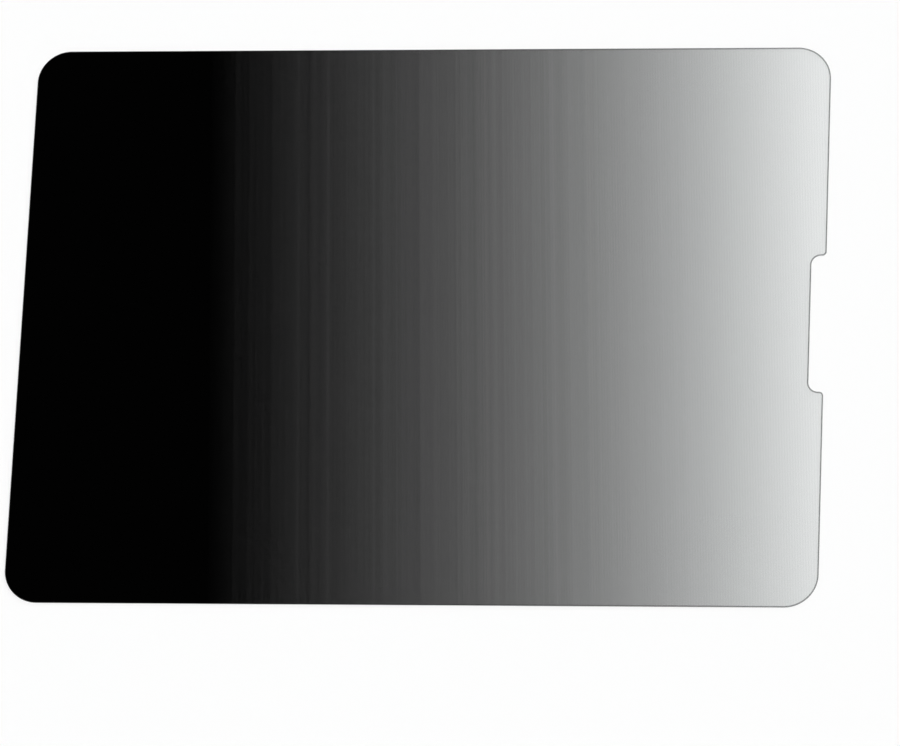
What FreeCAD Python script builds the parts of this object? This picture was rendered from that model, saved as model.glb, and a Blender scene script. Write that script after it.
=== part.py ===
import FreeCAD, Part
import os
import Sketcher

# Tablet privacy filter: one flat, die-cut sheet of louvre film.
# It lies on its underside, with the origin at the middle of that face, +X towards
# the short side that has the notch, and +Z up.

NODE = "filter_sheet"

# Driving sizes, in millimetres
SIZES = {
    # the sheet along X, Y and Z, and its four corners
    "sheet_width": 245.0,
    "sheet_depth": 177.0,
    "sheet_thickness": 0.5,
    "corner_radius": 10.2,
    # the notch along Y and X, the turn into it and the corner at its floor
    "notch_length": 43.0,
    "notch_depth": 4.5,
    "notch_lead_radius": 1.3,
    "notch_root_radius": 2.9,
    # the bevel that eases the cut edge, above and below
    "edge_bevel": 0.2,
}

# The most of a wall that a rounding or a bevel may take up
LEAD_SHARE = 0.3
ROOT_SHARE = 0.66
BEVEL_SHARE = 0.45

# How near an edge lies to the place it is looked for, in millimetres
NEAR = 1e-4
# How far a cut may miss its volume, as a share of it
VOLUME_SLACK = 1e-6

# How a sketch names the two ends of a line, and its own origin
START = 1
END = 2
ORIGIN = (-1, 1)


def make_size_sheet(doc):
    """Lists the driving sizes, one named cell to a row."""
    sheet = doc.addObject("Spreadsheet::Sheet", "Sizes")
    for row, (alias, value) in enumerate(SIZES.items(), start=1):
        sheet.set(f"A{row}", alias)
        sheet.set(f"B{row}", str(value))
        sheet.setAlias(f"B{row}", alias)
    doc.recompute()
    return sheet


def limited(alias, share, wall):
    """Expression for a rounding or a bevel that stays within its share of a wall."""
    return f"min(Sizes.{alias}; {share} * Sizes.{wall})"


def add_sketch(body, name):
    """Starts a sketch on the plane of the sheet's underside."""
    plane = next(item for item in body.Origin.OriginFeatures if item.Role == "XY_Plane")
    sketch = body.newObject("Sketcher::SketchObject", name)
    sketch.AttachmentSupport = [(plane, "")]
    sketch.MapMode = "FlatFace"
    return sketch


def add_rectangle(sketch, left, right, half_depth):
    """Draws a closed rectangle: its sides run bottom, right, top, left."""
    corners = [
        FreeCAD.Vector(left, -half_depth, 0),
        FreeCAD.Vector(right, -half_depth, 0),
        FreeCAD.Vector(right, half_depth, 0),
        FreeCAD.Vector(left, half_depth, 0),
    ]
    sides = []
    for start, end in zip(corners, corners[1:] + corners[:1]):
        sides.append(sketch.addGeometry(Part.LineSegment(start, end)))
    for side, following in zip(sides, sides[1:] + sides[:1]):
        sketch.addConstraint(Sketcher.Constraint("Coincident", side, END, following, START))
    for side, direction in zip(sides, ("Horizontal", "Vertical") * 2):
        sketch.addConstraint(Sketcher.Constraint(direction, side))
    return sides


def add_dimension(sketch, name, kind, ends, expression):
    """Sets the distance between two points of a sketch from the size sheet."""
    value = sketch.evalExpression(expression)
    index = sketch.addConstraint(Sketcher.Constraint(kind, *ends, value))
    sketch.renameConstraint(index, name)
    sketch.setExpression(f"Constraints.{name}", expression)


def edges_where(feature, test):
    """Names the edges of a feature whose middle passes the test."""
    numbered = enumerate(feature.Shape.Edges, start=1)
    return [f"Edge{number}" for number, edge in numbered if test(edge.CenterOfMass)]


def upright_edges(feature, x, y):
    """Names the edges that stand at x, y and at the mirror images of that place."""
    return edges_where(
        feature,
        lambda middle: abs(abs(middle.x) - x) < NEAR and abs(abs(middle.y) - y) < NEAR,
    )


def rim_edges(feature, thickness):
    """Names the edges that run round the top and the bottom face."""
    return edges_where(
        feature,
        lambda middle: abs(middle.z) < NEAR or abs(middle.z - thickness) < NEAR,
    )


def add_fillet(body, name, base, edges, expression):
    """Rounds the named edges of the feature before it."""
    fillet = body.newObject("PartDesign::Fillet", name)
    fillet.Base = (base, edges)
    fillet.setExpression("Radius", expression)
    body.Document.recompute()
    return fillet


def add_bevel(body, name, base, edges, expression):
    """Cuts the named edges of the feature before it back at 45 degrees."""
    bevel = body.newObject("PartDesign::Chamfer", name)
    bevel.Base = (base, edges)
    bevel.setExpression("Size", expression)
    body.Document.recompute()
    return bevel


def add_blank(body, size):
    """The sheet as a plain rectangle with its four corners rounded."""
    half_width = size["sheet_width"] / 2
    half_depth = size["sheet_depth"] / 2
    outline = add_sketch(body, "sheet_outline")
    bottom, right, _, _ = add_rectangle(outline, -half_width, half_width, half_depth)
    outline.addConstraint(Sketcher.Constraint("Symmetric", bottom, START, right, END, *ORIGIN))
    add_dimension(outline, "width", "DistanceX", (bottom, START, bottom, END), "Sizes.sheet_width")
    add_dimension(outline, "depth", "DistanceY", (right, START, right, END), "Sizes.sheet_depth")

    blank = body.newObject("PartDesign::Pad", "sheet_blank")
    blank.Profile = outline
    blank.setExpression("Length", "Sizes.sheet_thickness")
    body.Document.recompute()

    corners = upright_edges(blank, half_width, half_depth)
    return add_fillet(body, "sheet_corners", blank, corners, "Sizes.corner_radius")


def add_notch(body, blank, size):
    """The notch in the +X side, with round turns into it and at its floor."""
    edge = size["sheet_width"] / 2
    floor = edge - size["notch_depth"]
    half_length = size["notch_length"] / 2
    outline = add_sketch(body, "notch_outline")
    bottom, _, _, left = add_rectangle(outline, floor, edge + size["notch_depth"], half_length)
    add_dimension(outline, "floor", "DistanceX", (*ORIGIN, bottom, START),
                  "Sizes.sheet_width / 2 - Sizes.notch_depth")
    add_dimension(outline, "reach", "DistanceX", (bottom, START, bottom, END), "2 * Sizes.notch_depth")
    add_dimension(outline, "length", "DistanceY", (left, END, left, START), "Sizes.notch_length")
    add_dimension(outline, "middle", "DistanceY", (*ORIGIN, left, START), "Sizes.notch_length / 2")

    notch = body.newObject("PartDesign::Pocket", "camera_notch")
    notch.Profile = outline
    notch.Type = "ThroughAll"
    notch.Reversed = True
    body.Document.recompute()
    removed = blank.Shape.Volume - notch.Shape.Volume
    expected = size["notch_depth"] * size["notch_length"] * size["sheet_thickness"]
    if abs(removed - expected) > VOLUME_SLACK * expected:
        raise RuntimeError(f"the notch took away {removed:.3f} mm3 and not {expected:.3f}")

    lead = add_fillet(body, "notch_lead", notch, upright_edges(notch, edge, half_length),
                      limited("notch_lead_radius", LEAD_SHARE, "notch_depth"))
    return add_fillet(body, "notch_root", lead, upright_edges(lead, floor, half_length),
                      limited("notch_root_radius", ROOT_SHARE, "notch_depth"))


def check(doc, body):
    """Stops before anything is written if a step of the model failed."""
    for item in doc.Objects:
        if "Invalid" in item.State or "Error" in item.State:
            raise RuntimeError(f"{item.Name} failed: {item.State}")
    if body.Shape.isNull() or not body.Shape.isValid():
        raise RuntimeError(f"{body.Label} has no valid shape")
    if len(body.Shape.Solids) != 1:
        raise RuntimeError(f"{body.Label} is not one solid")


def main():
    doc = FreeCAD.newDocument("privacy_filter")
    sheet = make_size_sheet(doc)
    size = {alias: float(sheet.get(alias)) for alias in SIZES}

    body = doc.addObject("PartDesign::Body", NODE)
    body.Label = NODE
    blank = add_blank(body, size)
    notched = add_notch(body, blank, size)
    add_bevel(body, "cut_edge", notched, rim_edges(notched, size["sheet_thickness"]),
              limited("edge_bevel", BEVEL_SHARE, "sheet_thickness"))

    check(doc, body)
    os.makedirs("parts", exist_ok=True)
    body.Shape.exportStep(f"parts/{body.Label}.step")
    box = body.Shape.optimalBoundingBox(False)
    print(f"{body.Label}: {box.XLength:.3f} x {box.YLength:.3f} x {box.ZLength:.3f} mm, "
          f"{body.Shape.Volume:.1f} mm3")


main()
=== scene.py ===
import math

import bpy
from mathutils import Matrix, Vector


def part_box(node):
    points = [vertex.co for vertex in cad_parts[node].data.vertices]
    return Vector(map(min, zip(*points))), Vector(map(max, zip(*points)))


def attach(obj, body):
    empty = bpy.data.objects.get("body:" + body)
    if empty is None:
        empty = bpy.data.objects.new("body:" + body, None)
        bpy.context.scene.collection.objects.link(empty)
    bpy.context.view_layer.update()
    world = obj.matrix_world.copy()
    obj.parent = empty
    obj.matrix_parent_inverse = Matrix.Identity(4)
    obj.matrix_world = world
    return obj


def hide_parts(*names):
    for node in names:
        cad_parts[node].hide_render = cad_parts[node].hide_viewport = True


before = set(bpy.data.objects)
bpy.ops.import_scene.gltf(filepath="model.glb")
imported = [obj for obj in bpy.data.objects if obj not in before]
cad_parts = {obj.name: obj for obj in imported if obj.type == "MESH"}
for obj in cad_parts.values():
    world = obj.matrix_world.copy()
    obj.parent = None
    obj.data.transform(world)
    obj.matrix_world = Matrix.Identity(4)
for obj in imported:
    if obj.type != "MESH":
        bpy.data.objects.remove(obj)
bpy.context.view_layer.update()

# Looks of a tablet privacy filter: a thin sheet of louvre film. Its fade from black to nearly
# clear along +X is painted shade, for louvres that block the light seen through them at a slant.

NODE = "filter_sheet"
MM = 0.001

# The outline's own sizes. Width, depth and thickness come from the part's box in model.glb.
CORNER_RADIUS = 10.2 * MM
NOTCH_LENGTH = 43.0 * MM
NOTCH_DEPTH = 4.5 * MM
NOTCH_LEAD_RADIUS = 1.3 * MM
NOTCH_ROOT_RADIUS = 2.9 * MM
EDGE_BEVEL = 0.2 * MM
# How far in from the edge the cut edge's painted shade reaches, bevel included
CUT_WIDTH = 0.4 * MM
# Mesh edges along each arc of the outline, all of which turn through a right angle
ARC_STEPS = 24
# Faces that meet at more than this keep a crisp edge between them
SHARP_FROM = math.radians(30)

# The louvres stand at a slight angle to the short side. Along +X the film fades from black to
# clear: painted shade, for louvres that block the light seen through them at a slant.
LOUVRE_TURN = math.radians(2.7)
LOUVRE_PITCH = 0.8 * MM
PAINTED_SHADE_FULL_AT = -64.6 * MM
PAINTED_SHADE_GONE_AT = 128.0 * MM

# Share of the light that each face of the film lets through, under the painted shade: a part that
# sets in where the shade begins to lift, and a part that grows until the shade is gone
CLEAR_AS_SHADE_LIFTS = 0.454
SHADE_LIFT_POWER = 0.6
CLEAR_WHERE_SHADE_GONE = 0.898
SHADE_GONE_POWER = 2.1
# How uneven that share is, from band to band and from louvre to louvre
BAND_WIDTH = 3.0 * MM
BAND_DEPTH = 1.2
BAND_DETAIL = 5.0
BAND_ROUGHNESS = 0.75
BAND_FADE_POWER = 3.0
NOISE_MIDDLE = 0.5
LOUVRE_DEPTH = 0.012
# How much of that share the cut edge keeps back where the film is clear: painted shade, for
# light that does not pass straight through the bevel
CUT_EDGE_SHADE = 0.42

# The film's black under the painted shade, and the cool cast of clear plastic where it is gone
BLACK = (0.0003, 0.0003, 0.0003, 1.0)
CAST = (0.0, 0.054, 0.048, 1.0)
CUT_CAST = (0.0, 0.016, 0.014, 1.0)
CAST_POWER = 6.0

# The fine grain of a matte finish, and the span of roughness that it gives the film
GRAIN_SIZE = 0.35 * MM
GRAIN_DETAIL = 2.0
GRAIN_SPAN = (0.3, 0.7)
ROUGHNESS_SPAN = (0.14, 0.22)
BUMP_STRENGTH = 0.1
BUMP_HEIGHT = 0.004 * MM
FILM_SPECULAR = 0.3

# A Mix node's colour sockets go by number, because its other sockets share their names.
MIX_FIRST = 6
MIX_SECOND = 7
MIX_RESULT = 2

FLOOR_HALF_SIZE = 20.0
FLOOR_DROP = 0.05 * MM
FLOOR_WHITE = (0.9, 0.9, 0.9, 1.0)

# The room's light, from the walls' strength to the ceiling's over a span of heights
ROOM_WHITE = (1.0, 1.0, 1.0, 1.0)
CEILING_SPAN = (0.2, 0.7)
LIGHT_SPAN = (0.35, 0.01)

# The lamps: the way to each from the sheet, its strength, and its spread in degrees
LAMPS = {
    "key": {"way": (-0.75, -0.35, 0.56), "strength": 3.45, "spread": 40.0},
    "fill": {"way": (0.7, 0.5, 0.5), "strength": 2.5, "spread": 60.0},
}

# The camera: lens and sensor in millimetres, place and reach in metres, turn in degrees
CAMERA_LENS = 245.86
CAMERA_SENSOR = 36.0
CAMERA_PLACE = (0.25431, -0.58641, 1.74402)
CAMERA_REACH = 100.0
CAMERA_TURN = (18.12, 7.588, 0.078)


def add_object(name, data):
    """Puts a new object into the scene."""
    made = bpy.data.objects.new(name, data)
    bpy.context.scene.collection.objects.link(made)
    return made


def arc(centre_x, centre_y, radius, start, end, inset):
    """Points of an arc of the outline, moved into the sheet by inset. An arc that runs
    clockwise is hollow, and grows as it moves in."""
    radius += inset if end < start else -inset
    points = []
    for step in range(ARC_STEPS + 1):
        angle = math.radians(start + (end - start) * step / ARC_STEPS)
        points.append((centre_x + radius * math.cos(angle), centre_y + radius * math.sin(angle)))
    return points


def outline(half_width, half_depth, inset):
    """The sheet's outline, counter-clockwise from its corner at +X and -Y."""
    x = half_width - CORNER_RADIUS
    y = half_depth - CORNER_RADIUS
    lead_x = half_width - NOTCH_LEAD_RADIUS
    lead_y = NOTCH_LENGTH / 2 + NOTCH_LEAD_RADIUS
    root_x = half_width - NOTCH_DEPTH + NOTCH_ROOT_RADIUS
    root_y = NOTCH_LENGTH / 2 - NOTCH_ROOT_RADIUS
    return [
        *arc(x, -y, CORNER_RADIUS, -90, 0, inset),
        *arc(lead_x, -lead_y, NOTCH_LEAD_RADIUS, 0, 90, inset),
        *arc(root_x, -root_y, NOTCH_ROOT_RADIUS, 270, 180, inset),
        *arc(root_x, root_y, NOTCH_ROOT_RADIUS, 180, 90, inset),
        *arc(lead_x, lead_y, NOTCH_LEAD_RADIUS, -90, 0, inset),
        *arc(x, y, CORNER_RADIUS, 0, 90, inset),
        *arc(-x, y, CORNER_RADIUS, 90, 180, inset),
        *arc(-x, -y, CORNER_RADIUS, 180, 270, inset),
    ]


def make_sheet(film, cut):
    """The sheet as a closed mesh: two flat faces, and between them the cut edge."""
    low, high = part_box(NODE)
    half_width = (high.x - low.x) / 2
    half_depth = (high.y - low.y) / 2
    rings = [
        (CUT_WIDTH, low.z),
        (EDGE_BEVEL, low.z),
        (0.0, low.z + EDGE_BEVEL),
        (0.0, high.z - EDGE_BEVEL),
        (EDGE_BEVEL, high.z),
        (CUT_WIDTH, high.z),
    ]
    vertices = []
    for inset, z in rings:
        vertices.extend((x, y, z) for x, y in outline(half_width, half_depth, inset))
    count = len(vertices) // len(rings)

    underside = tuple(reversed(range(count)))
    top = tuple(range(len(vertices) - count, len(vertices)))
    flat_faces = [underside, top]
    cut_faces = []
    for ring in range(len(rings) - 1):
        for point in range(count):
            here = ring * count + point
            beside = ring * count + (point + 1) % count
            cut_faces.append((here, beside, beside + count, here + count))

    mesh = bpy.data.meshes.new("louvre_sheet")
    mesh.from_pydata(vertices, [], flat_faces + cut_faces)
    mesh.materials.append(film)
    mesh.materials.append(cut)
    for face in mesh.polygons[len(flat_faces):]:
        face.material_index = 1
    mesh.shade_smooth()
    mesh.set_sharp_from_angle(angle=SHARP_FROM)
    return add_object("louvre_sheet", mesh)


class Nodes:
    """The nodes of a material or a world, made by short calls."""

    def __init__(self, owner):
        owner.use_nodes = True
        self.tree = owner.node_tree

    def feed(self, name, inputs):
        """Links each input of a node to an output, or sets it to a plain value."""
        sockets = self.tree.nodes[name].inputs
        for key, value in inputs.items():
            if isinstance(value, bpy.types.NodeSocket):
                self.tree.links.new(value, sockets[key])
            else:
                sockets[key].default_value = value

    def add(self, kind, inputs, **settings):
        """Adds a node and returns its outputs."""
        made = self.tree.nodes.new(kind)
        for name, value in settings.items():
            setattr(made, name, value)
        self.feed(made.name, inputs)
        return made.outputs

    def maths(self, operation, *values):
        return self.add("ShaderNodeMath", dict(enumerate(values)), operation=operation)[0]

    def mapped(self, value, span, new_span, **settings):
        """Maps a value from its span to a new one, and holds it at both ends."""
        inputs = {
            "Value": value,
            "From Min": span[0],
            "From Max": span[1],
            "To Min": new_span[0],
            "To Max": new_span[1],
        }
        return self.add("ShaderNodeMapRange", inputs, **settings)[0]

    def mixed(self, share, first, second):
        """Mixes two colours, with this share of the second."""
        inputs = {"Factor": share, MIX_FIRST: first, MIX_SECOND: second}
        return self.add("ShaderNodeMix", inputs, data_type="RGBA")[MIX_RESULT]


def clear_share(nodes, along, shade_lifted, painted_shade):
    """The share of the light that a face of the film lets through at each place."""
    # the film clears quickly where its painted shade begins to lift, then more and more
    first = nodes.maths("POWER", nodes.maths("MULTIPLY", shade_lifted, painted_shade), SHADE_LIFT_POWER)
    later = nodes.maths("POWER", shade_lifted, SHADE_GONE_POWER)
    clear = nodes.maths(
        "ADD",
        nodes.maths("MULTIPLY", first, CLEAR_AS_SHADE_LIFTS),
        nodes.maths("MULTIPLY", later, CLEAR_WHERE_SHADE_GONE),
    )

    # faint bands and streaks along the louvres, which fade as the film clears
    noise = {"W": along, "Scale": 1.0 / BAND_WIDTH, "Detail": BAND_DETAIL, "Roughness": BAND_ROUGHNESS}
    bands = nodes.add("ShaderNodeTexNoise", noise, noise_dimensions="1D")[0]
    bands = nodes.maths("MULTIPLY", nodes.maths("SUBTRACT", bands, NOISE_MIDDLE), BAND_DEPTH)
    bands = nodes.maths("MULTIPLY", bands, nodes.maths("POWER", painted_shade, BAND_FADE_POWER))

    # the louvres' own lines
    lines = nodes.maths("SINE", nodes.maths("MULTIPLY", along, math.tau / LOUVRE_PITCH))
    lines = nodes.maths("MULTIPLY", lines, LOUVRE_DEPTH)

    uneven = nodes.maths("ADD", bands, lines)
    return nodes.maths("MULTIPLY", clear, nodes.maths("ADD", 1.0, uneven))


def film_material(name, cast, edge_shade):
    """Louvre film whose painted shade fades along +X, from black to clear with a cool cast. The
    last argument is how much painted shade a cut edge adds: what it keeps back of what a clear film
    lets through."""
    material = bpy.data.materials.new(name)
    nodes = Nodes(material)
    place = nodes.add("ShaderNodeTexCoord", {})["Object"]
    across = (math.cos(LOUVRE_TURN), math.sin(LOUVRE_TURN), 0.0)
    along = nodes.add("ShaderNodeVectorMath", {0: place, 1: across}, operation="DOT_PRODUCT")["Value"]
    # painted shade: black up to one place along +X, then lifting to clear, fixed to the sheet
    shade_lifted = nodes.mapped(along, (PAINTED_SHADE_FULL_AT, PAINTED_SHADE_GONE_AT), (0.0, 1.0))
    painted_shade = nodes.maths("SUBTRACT", 1.0, shade_lifted)

    # painted shade of the cut edge, which grows as the film clears
    kept = nodes.maths("SUBTRACT", 1.0, nodes.maths("MULTIPLY", shade_lifted, edge_shade))
    clear = nodes.maths("MULTIPLY", clear_share(nodes, along, shade_lifted, painted_shade), kept)
    cast_share = nodes.maths("POWER", shade_lifted, CAST_POWER)

    noise = {"Vector": place, "Scale": 1.0 / GRAIN_SIZE, "Detail": GRAIN_DETAIL}
    grain = nodes.add("ShaderNodeTexNoise", noise)[0]
    bump = {"Height": grain, "Strength": BUMP_STRENGTH, "Distance": BUMP_HEIGHT}

    surface = {
        # black under the painted shade, turning to the cool cast of clear plastic as it lifts
        "Base Color": nodes.mixed(cast_share, BLACK, cast),
        "Alpha": nodes.maths("SUBTRACT", 1.0, clear),
        "Roughness": nodes.mapped(grain, GRAIN_SPAN, ROUGHNESS_SPAN),
        "Normal": nodes.add("ShaderNodeBump", bump)[0],
        "Specular IOR Level": FILM_SPECULAR,
    }
    nodes.feed("Principled BSDF", surface)
    return material


def make_floor():
    """A wide plain floor, a hair below the sheet so that the two never coincide."""
    corners = [(-1, -1), (1, -1), (1, 1), (-1, 1)]
    vertices = [(x * FLOOR_HALF_SIZE, y * FLOOR_HALF_SIZE, -FLOOR_DROP) for x, y in corners]
    mesh = bpy.data.meshes.new("floor")
    mesh.from_pydata(vertices, [], [(0, 1, 2, 3)])
    material = bpy.data.materials.new("floor_white")
    surface = {"Base Color": FLOOR_WHITE, "Roughness": 1.0, "Specular IOR Level": 0.0}
    Nodes(material).feed("Principled BSDF", surface)
    mesh.materials.append(material)
    floor = add_object("floor", mesh)


def make_world():
    """A pale room with a dark ceiling, so that the black film mirrors nothing bright."""
    world = bpy.data.worlds.new("studio")
    nodes = Nodes(world)
    direction = nodes.add("ShaderNodeTexCoord", {})["Generated"]
    height = nodes.add("ShaderNodeSeparateXYZ", {0: direction})["Z"]
    light = nodes.mapped(height, CEILING_SPAN, LIGHT_SPAN, interpolation_type="SMOOTHSTEP")
    nodes.feed("Background", {"Color": ROOM_WHITE, "Strength": light})
    bpy.context.scene.world = world


def make_lamp(name, way, strength, spread):
    """A soft, distant lamp that the film does not mirror."""
    light = bpy.data.lights.new(name, "SUN")
    light.energy = strength
    light.angle = math.radians(spread)
    lamp = add_object(name, light)
    lamp.rotation_mode = "QUATERNION"
    lamp.rotation_quaternion = Vector(way).to_track_quat("Z", "Y")
    lamp.visible_glossy = False


def make_camera():
    """The photograph's view: from above, with the near and right sides closer."""
    lens = bpy.data.cameras.new("camera")
    lens.lens = CAMERA_LENS
    lens.sensor_width = CAMERA_SENSOR
    lens.clip_end = CAMERA_REACH
    camera = add_object("camera", lens)
    camera.location = CAMERA_PLACE
    camera.rotation_mode = "ZYX"
    camera.rotation_euler = [math.radians(angle) for angle in CAMERA_TURN]
    bpy.context.scene.camera = camera


louvre_film = film_material("louvre_film", CAST, 0.0)
# the cut edge carries painted shade, for light that does not pass straight through its bevel
cut_edge = film_material("cut_edge", CUT_CAST, CUT_EDGE_SHADE)
sheet = make_sheet(louvre_film, cut_edge)
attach(sheet, "root")
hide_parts(NODE)
# The sheet casts no shadow, so that the floor seen through it stays lit.
sheet.visible_shadow = False

make_floor()
make_world()
for lamp_name, lamp_settings in LAMPS.items():
    make_lamp(lamp_name, **lamp_settings)
make_camera()
bpy.context.scene.view_settings.view_transform = "Standard"
